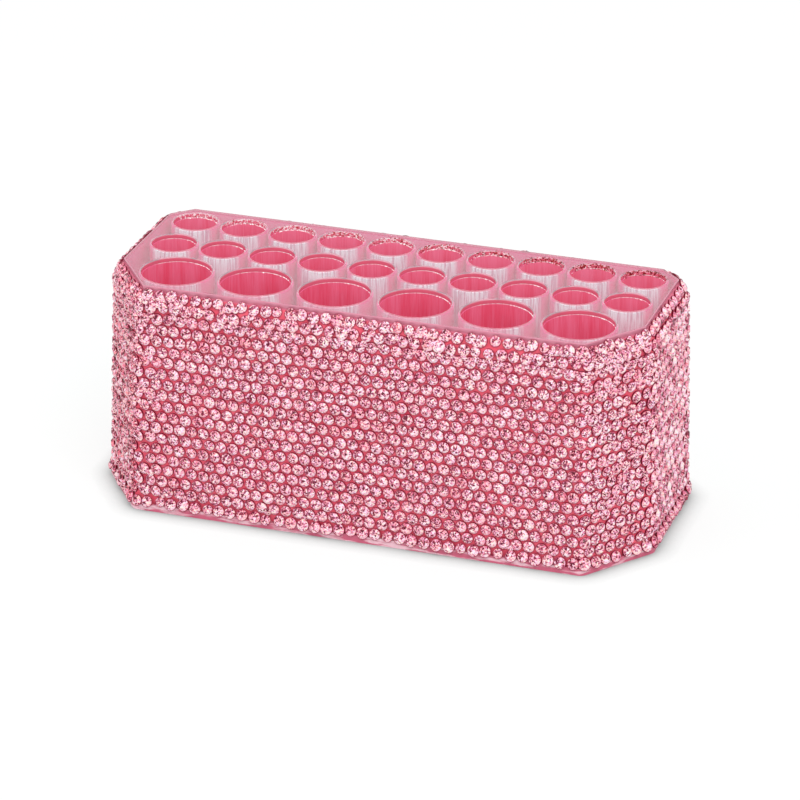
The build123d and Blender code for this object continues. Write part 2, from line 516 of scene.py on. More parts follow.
@dataclass(frozen=True)
class FoiledStone:
    """Faceted pink stone with a foiled back: every facet carries a painted reflection, its own
    tone.

    The piece's "glint" attribute is the facet's tone from 0, dark, to 1, white, a painted
    reflection of what the foil throws back; its "blush" attribute is how warm the facet is, and
    its
    "girdle" attribute runs from 0 in the stone's middle to 1 at its girdle, where the foil shows
    as a pink ring and the girdle as a painted dark edge of shade. The facets of the back, seen
    through the front, break the painted tones up into small chips, less so where the "calm"
    attribute is high.

    Attributes:
        name: Name of the material.
        tones: Stops of the painted reflections' tones from dark to white.
        warm: Colour that a warm facet leans to.
        cool: Tint of the chips that lean to lilac.
        golden: Tint of those that lean to peach.
        ring: Colour of the ring inside the girdle.
        edge: Colour of the girdle itself, a painted dark edge of shade.
        chip: Size of the chips.
        slant: Scale that stretches the chips.
    """

    name: str = "foiled_pink_stone"
    tones: Stops = (
        (0.0, linear(98, 12, 42)),
        (0.15, linear(176, 66, 100)),
        (0.38, linear(240, 152, 178)),
        (0.62, linear(254, 207, 220)),
        (0.84, linear(255, 246, 248)),
    )
    warm: Tint = linear(255, 158, 176)
    cool: Tint = linear(246, 226, 255)
    golden: Tint = linear(255, 246, 224)
    ring: Tint = linear(234, 100, 132)
    edge: Tint = linear(112, 10, 38)
    chip: float = 0.46 * MM
    slant: Place = (1.0, 0.55, 1.0)

    def make(self) -> Material:
        """Builds the material from the facets' tones, the chips and the ring.

        Returns:
            The material.
        """
        bench = NodeBench(self.name)
        girdle = bench.attribute("girdle")
        chances = bench.chances(bench.place(self.slant), self.chip)
        # Painted reflections: each facet's tone, broken into chips, in a tinted ramp.
        lively = bench.maths("SUBTRACT", 1.0, bench.attribute("calm"))
        chips = bench.maths("MULTIPLY", bench.maths("SUBTRACT", chances[0], 0.5), lively)
        tone = bench.maths("ADD", bench.attribute("glint"), chips, clamp=True)
        hue = bench.ramp(chances[1], [(0.2, self.cool), (0.5, WHITE), (0.8, self.golden)])
        colour = bench.blend(0.8, bench.ramp(tone, self.tones), hue, "MULTIPLY")
        warmth = bench.maths("MULTIPLY", bench.attribute("blush"), 0.6)
        colour = bench.blend(warmth, colour, self.warm, "MULTIPLY")
        # A pink ring inside the girdle, and painted shade at the girdle itself, with less gloss
        # there.
        in_ring = bench.maths("MULTIPLY", bench.rise(girdle, 0.85, 0.94), 0.75)
        painted_edge_shade = bench.rise(girdle, 0.935, 0.965)
        stone = bench.add(
            "ShaderNodeBsdfPrincipled",
            Base_Color=bench.blend(painted_edge_shade, bench.blend(in_ring, colour, self.ring), self.edge),
            Roughness=0.08,
            IOR=1.55,
            Specular_IOR_Level=bench.maths("MULTIPLY_ADD", painted_edge_shade, -0.2, 0.3),
        )
        return bench.finish(stone)


@dataclass(frozen=True)
class SocketRow:
    """One row of round sockets.

    Attributes:
        name: Name of the row, which starts the names of its nodes.
        count: Number of sockets.
        pitch: Distance between neighbouring centres.
        y: Place of the row's centre line.
        bore: Inner radius of the socket.
        number: Format of a socket's number in its node's name.
        sparkle: Share of painted reflections of the stones on the far side of the mouth.
    """

    name: str
    count: int
    pitch: float
    y: float
    bore: float
    number: str
    sparkle: float

    def centres(self) -> np.ndarray:
        """Returns the centres of the sockets from left to right, as rows of X and Y."""
        steps = np.arange(self.count) - (self.count - 1) / 2
        return np.column_stack([steps * self.pitch, np.full(self.count, self.y)])

    def node(self, index: int) -> str:
        """Returns the name of the node of one tube."""
        return f"{self.name}_tube_{format(index + 1, self.number)}"


ROWS = (
    SocketRow("back", 10, 21.06 * MM, 28.65 * MM, 9.0 * MM, "02d", 0.6),
    SocketRow("middle", 10, 21.06 * MM, 4.35 * MM, 9.0 * MM, "02d", 0.0),
    SocketRow("front", 6, 33.25 * MM, -23.25 * MM, 14.15 * MM, "d", 0.0),
)


@dataclass(frozen=True)
class CaseOutline:
    """Outline of the top plate seen from above, and of everything that runs round it.

    Attributes:
        length: Plate's size along X.
        depth: Plate's size along Y.
        front_corner_facing: Degrees from +X to the direction that a front corner side faces.
        back_corner_facing: The same of a back corner side.
        front_corner_margin: From the axis of a corner socket in the front row to that side.
        back_corner_margin: The same in the back row.
    """

    length: float = 216.0 * MM
    depth: float = 83.3 * MM
    front_corner_facing: float = 36.3
    back_corner_facing: float = 45.0
    front_corner_margin: float = 16.6 * MM
    back_corner_margin: float = 12.8 * MM

    @staticmethod
    def distance_past(row: SocketRow, facing: float, margin: float) -> float:
        """Distance from the origin to a corner side beyond a row's last socket.

        Args:
            row: The row.
            facing: Degrees from the end of the case to the direction that the side faces.
            margin: From the socket's axis to the side.

        Returns:
            The distance.
        """
        turn = math.radians(facing)
        x, y = row.pitch * (row.count - 1) / 2, abs(row.y)
        return x * math.cos(turn) + y * math.sin(turn) + margin

    def sides(self) -> list[tuple[str, float, float]]:
        """Lists the sides in order round the case.

        Returns:
            The name, the degrees faced and the distance from the origin of each side.
        """
        front, back = self.front_corner_facing, self.back_corner_facing
        near = self.distance_past(ROWS[2], front, self.front_corner_margin)
        far = self.distance_past(ROWS[0], back, self.back_corner_margin)
        return [
            ("front", -90.0, self.depth / 2),
            ("front_right", -front, near),
            ("right", 0.0, self.length / 2),
            ("back_right", back, far),
            ("back", 90.0, self.depth / 2),
            ("back_left", 180.0 - back, far),
            ("left", 180.0, self.length / 2),
            ("front_left", 180.0 + front, near),
        ]

    def corner(self, index: int, reach: float) -> np.ndarray:
        """Corner after a side, where its line crosses the next side's line.

        Args:
            index: Number of the side in the order of sides().
            reach: How far every side has moved out.

        Returns:
            The corner's X and Y.
        """
        sides = self.sides()
        _, facing, distance = sides[index % SIDE_COUNT]
        _, next_facing, next_distance = sides[(index + 1) % SIDE_COUNT]
        a, b = math.radians(facing), math.radians(next_facing)
        lines = np.array([[math.cos(a), math.sin(a)], [math.cos(b), math.sin(b)]])
        return np.linalg.solve(lines, [distance + reach, next_distance + reach])

    def loop(self, reach: float) -> np.ndarray:
        """Returns all the corners of the outline moved out by reach, in order."""
        return np.array([self.corner(index, reach) for index in range(SIDE_COUNT)])


@dataclass(frozen=True)
class Faces:
    """Faces of a mesh.

    Attributes:
        corners: Vertex numbers of all the faces' corners, face by face round their outside.
        sizes: Number of corners of each face.
    """

    corners: np.ndarray
    sizes: np.ndarray

    @classmethod
    def of(cls, *groups: np.ndarray) -> "Faces":
        """Joins groups of like faces, each with the vertex numbers of one face in a row."""
        sizes = [np.full(len(group), group.shape[1]) for group in groups]
        return cls(np.concatenate([group.ravel() for group in groups]), np.concatenate(sizes))

    def copies(self, count: int, step: int) -> "Faces":
        """Repeats the faces count times, each time step vertices further on."""
        starts = step * np.arange(count)[:, None]
        return Faces((starts + self.corners).ravel(), np.tile(self.sizes, count))


def make_piece(
    name: str,
    vertices: np.ndarray,
    faces: Faces,
    material: Material,
    smooth: np.ndarray | bool,
) -> bpy.types.Object:
    """Puts a mesh worked out as arrays into the scene.

    Args:
        name: Name of the piece.
        vertices: X, Y and Z of every vertex, in an array of any shape that ends in them.
        faces: The faces.
        material: The piece's one material.
        smooth: Which faces are shaded smooth, or one answer for all.

    Returns:
        The new object, at the origin.
    """
    mesh = bpy.data.meshes.new(name)
    mesh.vertices.add(vertices.size // 3)
    mesh.vertices.foreach_set("co", vertices.astype(np.float32).ravel())
    mesh.loops.add(len(faces.corners))
    mesh.loops.foreach_set("vertex_index", faces.corners.astype(np.int32))
    mesh.polygons.add(len(faces.sizes))
    starts = np.cumsum(faces.sizes) - faces.sizes
    mesh.polygons.foreach_set("loop_start", starts.astype(np.int32))
    mesh.update(calc_edges=True)
    mesh.polygons.foreach_set("use_smooth", np.full(len(faces.sizes), smooth))
    mesh.materials.append(material)
    piece = bpy.data.objects.new(name, mesh)
    bpy.context.scene.collection.objects.link(piece)
    return piece


def band_faces(rings: int, around: int, start: int = 0) -> np.ndarray:
    """Quads between rings of vertices that follow one another, each closed round on itself.

    Args:
        rings: Number of rings.
        around: Vertices in a ring.
        start: Number of the first vertex.

    Returns:
        Vertex numbers of the quads, one quad in a row.
    """
    ring, step = np.meshgrid(np.arange(rings - 1), np.arange(around), indexing="ij")
    here = start + ring * around + step
    beside = start + ring * around + (step + 1) % around
    return np.stack([here, beside, beside + around, here + around], axis=-1).reshape(-1, 4)


def turned_rings(
    centre: Sequence[float], radius: np.ndarray, height: np.ndarray, turn: np.ndarray
) -> np.ndarray:
    """Section carried round an upright axis.

    The point at turn t is the axis plus the section's radius times (cos t, sin t), at the
    section's height.

    Args:
        centre: X and Y of the axis.
        radius: Radius of every point of the section.
        height: Height of every point of the section.
        turn: Turns at which the section stands, in radians.

    Returns:
        An array of rings by turns by XYZ.
    """
    x = centre[0] + radius[:, None] * np.cos(turn)
    y = centre[1] + radius[:, None] * np.sin(turn)
    return np.stack([x, y, np.broadcast_to(height[:, None], x.shape)], axis=-1)


def far_half(turn: np.ndarray) -> np.ndarray:
    """Returns 1 at the back of a mouth, less towards its sides and 0 in front, by turn."""
    return np.clip(1.6 * np.sin(turn) - 0.2, 0.0, 1.0) ** 0.5


def add_attribute(
    piece: bpy.types.Object, name: str, domain: str, values: np.ndarray, kind: str = "FLOAT"
) -> None:
    """Writes a named attribute onto a piece's mesh from a whole array."""
    attribute = piece.data.attributes.new(name, kind, domain)
    attribute.data.foreach_set("vector" if kind == "FLOAT_VECTOR" else "value", values.ravel())


@dataclass
class TopPlate:
    """Flat clear sheet with 26 round mouths, its edges and rims rounded over by polishing.

    Attributes:
        outline: The case's outline.
        finish: The sheet's finish.
        underside: Height of its lower face, a hair above the walls and tubes it is glued to.
        top: Height of its upper face.
        edge_round: Radius of the polished edge round the outside.
        rim_round: Radius of the polished rims of the mouths, at the top.
        burr_round: Radius of all the edges of the lower face.
        round_steps: Steps in a rounded edge.
        mouth_steps: Steps round a mouth.
    """

    outline: CaseOutline
    finish: ClearSheet
    underside: float = 93.03 * MM
    top: float = 95.0 * MM
    edge_round: float = 0.4 * MM
    rim_round: float = 0.6 * MM
    burr_round: float = 0.2 * MM
    round_steps: int = 5
    mouth_steps: int = 96

    def profile(self, radius: float) -> np.ndarray:
        """Edge's section from the lower face to the upper, as rows of (set back, height).

        A quarter circle joins each face to the upright edge: set back is the radius times one
        less the sine, and height runs with one less the cosine.

        Args:
            radius: Radius of the upper rounding.

        Returns:
            The section's points from the bottom up.
        """
        turn = np.linspace(0.0, math.pi / 2, self.round_steps + 1)
        back, rise = 1 - np.sin(turn), 1 - np.cos(turn)
        lower = np.column_stack([self.burr_round * back, self.underside + self.burr_round * rise])
        upper = np.column_stack([radius * back[::-1], self.top - radius * rise[::-1]])
        return np.vstack([lower, upper])

    def outer_rings(self) -> np.ndarray:
        """Carries the edge's section round the outline.

        Returns:
            An array of rings by corners by XYZ.
        """
        rings = [
            np.column_stack([self.outline.loop(-back), np.full(SIDE_COUNT, height)])
            for back, height in self.profile(self.edge_round)
        ]
        return np.array(rings)

    def mouth_rings(self, centre: np.ndarray, bore: float) -> np.ndarray:
        """Carries the rim's section round one mouth, turned so that its faces look into the hole.

        Args:
            centre: X and Y of the mouth's middle.
            bore: Radius of the mouth.

        Returns:
            An array of rings by steps by XYZ.
        """
        back, height = self.profile(self.rim_round).T
        turn = -np.linspace(0.0, 2 * math.pi, self.mouth_steps, endpoint=False)
        return turned_rings(centre, bore + back, height, turn)

    @staticmethod
    def flat_face(bands: list[np.ndarray], starts: np.ndarray, upper: bool) -> np.ndarray:
        """Fills the upper or the lower face with flat triangles, which leave the mouths open.

        Args:
            bands: The rings of the outer edge and of every mouth.
            starts: Number of the first vertex of each band.
            upper: Whether it is the upper face.

        Returns:
            Vertex numbers of the triangles, turned to look up or down.
        """
        ring, up = (-1, 1) if upper else (0, -1)
        numbers = np.concatenate(
            [
                start + np.arange(band.size // 3).reshape(band.shape[:2])[ring]
                for band, start in zip(bands, starts)
            ]
        )
        points = np.concatenate([band[ring] for band in bands])
        loops = [[Vector(point) for point in band[ring]] for band in bands]
        triangles = np.array(tessellate_polygon(loops))
        a, b, c = (points[triangles[:, corner]] for corner in range(3))
        normal = up * np.cross(b - a, c - a)[:, 2]
        triangles = np.where(normal[:, None] < 0, triangles[:, ::-1], triangles)
        return numbers[triangles[np.abs(normal) > 1e-16]]

    def build(self) -> bpy.types.Object:
        """Joins the bands with an upper and a lower face and lets the plate stand for its node.

        Returns:
            The plate.
        """
        bands = [self.outer_rings()]
        bands += [self.mouth_rings(centre, row.bore) for row in ROWS for centre in row.centres()]
        starts = np.cumsum([0] + [band.size // 3 for band in bands])
        rounded = np.vstack(
            [band_faces(*band.shape[:2], start) for band, start in zip(bands, starts)]
        )
        flat = [self.flat_face(bands, starts, upper) for upper in (True, False)]
        faces = Faces.of(rounded, *flat)
        vertices = np.vstack([band.reshape(-1, 3) for band in bands])
        smooth = np.arange(len(faces.sizes)) < len(rounded)
        piece = make_piece("pierced_plate", vertices, faces, self.finish.make(), smooth)
        self.mark(piece)
        self.sharpen(piece)
        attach(piece, BODY)
        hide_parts("top_plate")
        return piece

    def mark(self, piece: bpy.types.Object) -> None:
        """Writes the attributes that the sheet's finish reads onto its faces.

        The faces of the outer edge come first and are cut. Those of the mouths follow, strip
        by strip from the bottom up: they are cut as far as the first strip of the upper
        rounding and half cut beyond, rim as far as its second strip, and carry painted
        reflections at the back as much as their row asks for. The flat faces come last and get
        nothing.

        Args:
            piece: The plate.
        """
        strips = np.arange(2 * self.round_steps + 1)[:, None]
        turn = -2 * math.pi * (np.arange(self.mouth_steps) + 0.5) / self.mouth_steps
        sparkle = np.repeat([row.sparkle for row in ROWS], [row.count for row in ROWS])
        shape = (len(sparkle), len(strips), self.mouth_steps)
        first = SIDE_COUNT * len(strips)
        marks = {
            "cut": (1.0, np.where(strips <= self.round_steps + 1, 1.0, 0.5)),
            "rim": (0.0, strips <= self.round_steps + 2),
            "fleck": (0.0, sparkle[:, None, None] * far_half(turn)),
        }
        for name, (outer, mouths) in marks.items():
            values = np.zeros(len(piece.data.polygons))
            values[:first] = outer
            values[first : first + math.prod(shape)] = np.broadcast_to(mouths, shape).ravel()
            add_attribute(piece, name, "FACE", values)

    def sharpen(self, piece: bpy.types.Object) -> None:
        """Keeps the outer corners crisp: their upright edges are marked sharp.

        Args:
            piece: The plate.
        """
        mesh = piece.data
        ends = np.zeros(len(mesh.edges) * 2, np.int32)
        mesh.edges.foreach_get("vertices", ends)
        ends = ends.reshape(-1, 2)
        outer = SIDE_COUNT * 2 * (self.round_steps + 1)
        upright = (np.abs(ends[:, 0] - ends[:, 1]) == SIDE_COUNT) & (ends.max(1) < outer)
        mesh.attributes.new("sharp_edge", "BOOLEAN", "EDGE").data.foreach_set("value", upright)


@dataclass
class SocketTubes:
    """Open tubes that stand on the base plate and end under the top plate.

    Attributes:
        finish: The tubes' finish.
        foot: Height of the base plate's upper face.
        head: Height just under the top plate.
        wall: Thickness of a tube's wall.
        edge_round: Radius of its polished ends.
        steps: Steps round a tube.
        lip: How far the tube's head stands into the mouth above it.
        fleck_depth: Depth down to which painted reflections lie on the inner face.
        painted_sheen_way: Degrees from +X to the way in which the outer face is palest, with most
            painted sheen.
        glint_way: Degrees from +X to the middle of the painted glint on the mouth's edge.
        glint_share: Share of painted reflections in that painted glint.
        grain_radius: Radius of the draw marks' pattern on a tube of the same radius.
        grain_length: Length of tube over which the pattern changes.
        grain_seed: Seed of where each tube's marks start.
    """

    finish: DrawnTube
    foot: float = 3.0 * MM
    head: float = 92.98 * MM
    wall: float = 1.0 * MM
    edge_round: float = 0.15 * MM
    steps: int = 96
    lip: float = 0.1 * MM
    fleck_depth: float = 0.6 * MM
    painted_sheen_way: float = -80.0
    glint_way: float = 50.0
    glint_share: float = 0.6
    grain_radius: float = 9.0 * MM
    grain_length: float = 150 * MM
    grain_seed: int = 7

    def section(self, bore: float) -> np.ndarray:
        """Closed section of the wall, up its outer face and down its inner one.

        Args:
            bore: Inner radius of the socket.

        Returns:
            Rows of radius, height, share of the inner face and share of the mouth's edge.
        """
        r, k = self.edge_round, 1 - math.sqrt(0.5)
        inner, outer = bore - self.lip, bore + self.wall
        low, high = self.foot, self.head
        rows = [
            (outer, low, 0, 0),
            (outer, high - 3 * r, 0, 0),
            (outer, high - r, 0, 0),
            (outer - r * k, high - r * k, 0, 0),
            (outer - r, high, 0, 0),
            (inner + r, high, 0.4, 0.3),
            (inner + r * k, high - r * k, 0.7, 1),
            (inner, high - r, 1, 0.7),
            (inner, high - 2 * r, 1, 0),
            (inner, high - self.fleck_depth, 1, 0),
            (inner, low, 1, 0),
        ]
        return np.array(rows, float)

    def build(self) -> list[bpy.types.Object]:
        """Builds every tube of every row.

        Returns:
            The tubes.
        """
        material = self.finish.make()
        draws = np.random.default_rng(self.grain_seed)
        return [
            self.build_tube(row, index, centre, material, draws.uniform(0.0, 40.0))
            for row in ROWS
            for index, centre in enumerate(row.centres())
        ]

    def build_tube(
        self,
        row: SocketRow,
        index: int,
        centre: np.ndarray,
        material: Material,
        start: float,
    ) -> bpy.types.Object:
        """Carries the wall's section round one socket's axis and lets it stand for its node.

        Args:
            row: The socket's row.
            index: Its number in the row, from 0.
            centre: X and Y of its axis.
            material: The tubes' material.
            start: Where its draw marks start in the grain.

        Returns:
            The tube.
        """
        radius, height, inner, edge = self.section(row.bore).T
        turn = np.linspace(0.0, 2 * math.pi, self.steps, endpoint=False)
        rings = turned_rings(centre, radius, height, turn)
        quads = band_faces(len(radius) + 1, self.steps) % (rings.size // 3)
        smooth = np.arange(len(quads)) < len(quads) - self.steps
        name = f"drawn_{row.node(index)}"
        piece = make_piece(name, rings, Faces.of(quads), material, smooth)
        around = np.full(len(radius), row.bore / self.grain_radius)
        grain = turned_rings((0.0, 0.0), around, height / self.grain_length + start, turn)
        add_attribute(piece, "grain", "POINT", grain, "FLOAT_VECTOR")
        # Painted reflections of the stones near the top of the inner face, at the back of the
        # mouth.
        high = (height > self.head - self.fleck_depth / 2) * inner
        # A painted glint on the mouth's edge, round glint_way.
        glint = np.clip(3 * np.cos(turn - math.radians(self.glint_way)) - 2, 0.0, 1.0)
        mirrored = row.sparkle * high[:, None] * far_half(turn)
        marks = {
            "bore": inner[:, None],
            "edge": edge[:, None],
            "fleck": mirrored + self.glint_share * edge[:, None] * glint,
            # Facing front or back: painted sheen on the outer face; towards the sides, painted
            # shade.
            "front": np.abs(np.cos(turn - math.radians(self.painted_sheen_way))),
        }
        for mark, values in marks.items():
            add_attribute(piece, mark, "POINT", np.broadcast_to(values, rings.shape[:2]))
        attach(piece, BODY)
        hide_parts(row.node(index))
        return piece


class Lay(Enum):
    """How far past a corner a course's first stone lies, as a share of the stones' pitch."""

    NEAR = 0.25
    FAR = 0.75


@dataclass(frozen=True)
class SideLook:
    """How one side's stones differ from plain ones.

    Attributes:
        tone: How much paler or darker the side is painted, as the lamps' light would make it.
        contrast: How much further apart the painted reflections of their facets are.
        calm: How much the painted reflections follow where the facets look, and not chance.
        warmth: How much warmer the facets are at most, by chance.
        top_looseness: How loosely the last two courses are laid.
    """

    tone: float = 0.0
    contrast: float = 1.0
    calm: float = 0.0
    warmth: float = 0.0
    top_looseness: float = 0.45


# Painted light by side: tone makes a side paler or darker as lamps would; contrast and calm shape
# its painted reflections.
SIDE_LOOKS = {
    "front": SideLook(top_looseness=0.42),
    "front_right": SideLook(tone=0.06),
    "right": SideLook(tone=-0.16, contrast=1.45, calm=0.6, top_looseness=0.15),
    "left": SideLook(tone=-0.04, contrast=2.3, warmth=1.0),
    "front_left": SideLook(tone=-0.09, contrast=2.0, warmth=1.2),
}


@dataclass
class StoneCourses:
    """Level courses of rhinestones round the walls, every stone a faceted piece of its own.

    Attributes:
        outline: The case's outline.
        finish: The stones' finish.
        courses: Number of courses.
        first_rise: From the wall's foot to the first course.
        last_setback: From the last course to the wall's top edge.
        pitch: Distance along a course between neighbouring stones.
        corner_pitch: The same on the corner sides, where they are crowded.
        stone_radius: Radius of a stone at its girdle.
        stone_height: From its flat back to its table.
        girdle_high: From its flat back to the upper edge of its girdle.
        girdle_corners: Corners of its girdle, twice as many as of its table.
        table_share: Radius of its table as a share of its own.
        table_ring: Shares of its radius between which the middles of the table's facets lie.
        crown_ring: The same of the crown's facets.
        dark_share: Share of the table's facets with a painted dark reflection.
        dim_share: Share of the crown's facets with a painted dark reflection.
        calm_way: Way in which the facets with a painted highlight on a calm side look, in radians.
        filler_size: Size of the small stones between loosely laid ones, as a share.
        filler_limit: Size below which a stone lies on top of its neighbours.
        lip_step: How far the first course stands out over the base plate's lip.
        lip_tip: How steeply the first course's stones look up, in radians.
        corner_bend: How far from a corner the stones still turn with it.
        corner_sink: How deep a stone right across a corner is pressed into its glue.
        loose_corner: How far from its left corner the front is laid loosely.
        loose_end: Distances along the front between which its top courses grow looser.
        crest_drop: From the wall's top edge down to the last row of small stones.
        foot_reach: How far the walls' foot stands outside the plate's outline.
        middle_reach: The same half way up, where the stones of a course are counted.
        wall_top_reach: The same at the walls' top, without their sloping shoulder.
        wall_flare: How far they lean out from top to foot.
        shoulder_inset: How far the shoulder takes their top edge in.
        foot_height: Height of their foot.
        shoulder_height: Height at which the shoulder starts.
        plate_underside: Height of their top edge.
        seed: Seed of the hand's unevenness and of the facets' tones.
        places: Rows of X, Y, Z, direction faced, tip, looseness and size, by side.
    """

    outline: CaseOutline
    finish: FoiledStone
    courses: int = 20
    first_rise: float = 1.1 * MM
    last_setback: float = 1.3 * MM
    pitch: float = 5.05 * MM
    corner_pitch: float = 4.75 * MM
    stone_radius: float = 2.46 * MM
    stone_height: float = 1.6 * MM
    girdle_high: float = 0.5 * MM
    girdle_corners: int = 16
    table_share: float = 0.5
    table_ring: Span = (0.2, 0.45)
    crown_ring: Span = (0.45, 0.8)
    dark_share: float = 0.34
    dim_share: float = 0.1
    calm_way: float = 2.4
    filler_size: float = 0.6
    filler_limit: float = 0.75
    lip_step: float = 1.0 * MM
    lip_tip: float = 0.42
    corner_bend: float = 2.2 * MM
    corner_sink: float = 0.6 * MM
    loose_corner: float = 9 * MM
    loose_end: Span = (120 * MM, 180 * MM)
    crest_drop: float = 0.7 * MM
    foot_reach: float = 5.7 * MM
    middle_reach: float = 4.5 * MM
    wall_top_reach: float = 3.2 * MM
    wall_flare: float = 2.5 * MM
    shoulder_inset: float = 2.2 * MM
    foot_height: float = 3.0 * MM
    shoulder_height: float = 88.5 * MM
    plate_underside: float = 93.0 * MM
    seed: int = 20
    places: dict[str, list[np.ndarray]] = field(default_factory=dict)

    def face_lengths(self) -> tuple[float, float, float, float]:
        """Measures the walls' outer face.

        Returns:
            Its reach at the shoulder and at the top, and its lengths below and above the
            shoulder.
        """
        drop = self.plate_underside - self.shoulder_height
        lean = self.wall_flare / (self.plate_underside - self.foot_height)
        shoulder_reach = self.wall_top_reach + lean * drop
        top_reach = self.wall_top_reach - self.shoulder_inset
        rise = self.shoulder_height - self.foot_height
        straight = math.hypot(self.foot_reach - shoulder_reach, rise)
        return shoulder_reach, top_reach, straight, math.hypot(shoulder_reach - top_reach, drop)

    def on_face(self, distance: float) -> tuple[float, float, float]:
        """Point of the walls' outer face at a distance up along it from the foot.

        Args:
            distance: Distance along the face.

        Returns:
            Reach outside the plate's outline, height, and how steeply the face looks up, in
            radians.
        """
        shoulder_reach, top_reach, straight, slope = self.face_lengths()
        rise = self.shoulder_height - self.foot_height
        drop = self.plate_underside - self.shoulder_height
        lean = math.atan2(self.foot_reach - shoulder_reach, rise)
        tip = math.atan2(shoulder_reach - top_reach, drop)
        if distance <= straight:
            share = distance / straight
            reach = self.foot_reach + (shoulder_reach - self.foot_reach) * share
            near = max(0.0, 1 - (straight - distance) / self.stone_radius)
            return reach, self.foot_height + rise * share, lean + (tip - lean) * 0.5 * near
        share = (distance - straight) / slope
        reach = shoulder_reach + (top_reach - shoulder_reach) * share
        return reach, self.shoulder_height + drop * share, tip

    def stone(self) -> tuple[np.ndarray, list[np.ndarray]]:
        """One stone: flat back, girdle, crown of triangles and a table.

        Its corners stand at equal turns on three rings, each with its own radius and height:
        the back's, the girdle's and the table's, which has every other turn only.

        Returns:
            Vertices round the middle of the flat back, with Z outwards, and the vertex numbers
            of the girdle's quads, of the crown's and table's triangles, and of the back.
        """
        around, half = self.girdle_corners, self.girdle_corners // 2
        turn = np.arange(around) * math.pi / half
        ring = self.stone_radius * np.column_stack([np.cos(turn), np.sin(turn), np.zeros(around)])
        girdle = ring + [0, 0, self.girdle_high]
        table = ring[::2] * self.table_share + [0, 0, self.stone_height]
        vertices = np.vstack([ring * 0.97, girdle, table, [0, 0, self.stone_height]])
        step = np.arange(half)
        at, after = around + 2 * step, around + 2 * step + 1
        before = around + (2 * step - 1) % around
        top, top_next = 2 * around + step, 2 * around + (step + 1) % half
        middle = np.full(half, len(vertices) - 1)
        crown = [[top, before, at], [top, at, after], [top, after, top_next]]
        table_part = [middle, top, top_next]
        triangles = np.array([*crown, table_part]).transpose(2, 0, 1).reshape(-1, 3)
        return vertices, [band_faces(2, around), triangles, np.arange(around)[None, ::-1]]

    def lay_course(self, course: int, draws: np.random.Generator) -> None:
        """Lays one course, and the small stones that fill the gaps over and under loose ones.

        Args:
            course: Number of the course, from the bottom.
            draws: Source of chance.
        """
        _, _, straight, slope = self.face_lengths()
        length = straight + slope
        step = (length - self.first_rise - self.last_setback) / (self.courses - 1)
        distance = self.first_rise + step * course
        gap = step * 2 / 3
        self.lay_row(course, distance, 1.0, draws)
        if course > 0:
            self.lay_row(course, distance - gap, self.filler_size, draws)
        last = course == self.courses - 1
        over = length - self.crest_drop if last else distance + gap
        self.lay_row(course, over, self.filler_size, draws)

    def lay_row(
        self, course: int, distance: float, size: float, draws: np.random.Generator
    ) -> None:
        """Adds one row's stones to the places of every side.

        Odd courses lie half a stone along. The way that stones face eases from one side's to
        the next over the corner's bend, and those on a corner sink into their glue.

        Args:
            course: Number of the course that the row belongs to.
            distance: Distance of the row up along the walls' face.
            size: Size of its stones, as a share of a full stone's.
            draws: Source of chance.
        """
        reach, height, tip = self.on_face(distance)
        if course == 0 and size == 1.0:
            reach, tip = reach + self.lip_step, self.lip_tip
        lay = Lay.NEAR if course % 2 == 0 else Lay.FAR
        sides = self.outline.sides()
        corners, middles = self.outline.loop(reach), self.outline.loop(self.middle_reach)
        for index, (name, facing, _) in enumerate(sides):
            pitch = self.corner_pitch if "_" in name else self.pitch
            count = round(float(np.hypot(*(middles[index] - middles[index - 1]))) / pitch)
            share = (np.arange(count) + lay.value) / count
            start, way = corners[index - 1], corners[index] - corners[index - 1]
            along = share * float(np.hypot(*way))
            left = (1 - share) * float(np.hypot(*way))
            turn_before = math.radians((facing - sides[index - 1][1]) % 360)
            turn_after = math.radians((sides[(index + 1) % SIDE_COUNT][1] - facing) % 360)
            faced = math.radians(facing) - turn_before / 2 * np.exp(-along / self.corner_bend)
            faced += turn_after / 2 * np.exp(-left / self.corner_bend)
            loose = self.looseness(name, course, along, draws)
            sizes = size * (1 + draws.normal(0, 1, count) * (0.015 + 0.1 * loose))
            sunk = self.corner_sink * (np.exp(-along / MM) + np.exp(-left / MM))
            outward = np.column_stack([np.cos(faced), np.sin(faced)])
            points = start + way * share[:, None] - outward * sunk[:, None]
            level, tips = np.full(count, height), np.full(count, tip)
            rows = np.column_stack([points, level, faced, tips, loose, sizes])
            chance = 1.0 if size == 1.0 else (loose - 0.2) / 0.6
            laid = draws.uniform(0, 1, count) < chance
            self.places.setdefault(name, []).append(rows[laid])

    def looseness(
        self, side: str, course: int, along: np.ndarray, draws: np.random.Generator
    ) -> np.ndarray:
        """How loosely each stone was laid, from 0, neat, to 1.

        Args:
            side: Name of the side.
            course: Number of the course.
            along: Distances along the side.
            draws: Source of chance.

        Returns:
            One value for each stone.
        """
        loose = np.full(len(along), 0.1)
        if "_" in side:
            loose += 0.08 + 0.25 * course / self.courses
        if side == "front":
            loose += 0.35 * np.exp(-along / self.loose_corner)
        if course == 0:
            loose += 0.25
        elif course >= self.courses - 2:
            far_end = np.interp(along, self.loose_end, (0.0, 1.0))
            top = SIDE_LOOKS.get(side, SideLook()).top_looseness
            loose += top + 0.15 * far_end * (side == "front")
        return np.clip(loose + draws.uniform(-0.06, 0.06, len(along)), 0.0, 1.0)

    def build(self) -> list[bpy.types.Object]:
        """Lays all the courses, then builds one piece for the stones of each side.

        Returns:
            The pieces.
        """
        draws = np.random.default_rng(self.seed)
        for course in range(self.courses):
            self.lay_course(course, draws)
        material = self.finish.make()
        return [
            self.build_side(side, np.vstack(rows), material, draws)
            for side, rows in self.places.items()
        ]

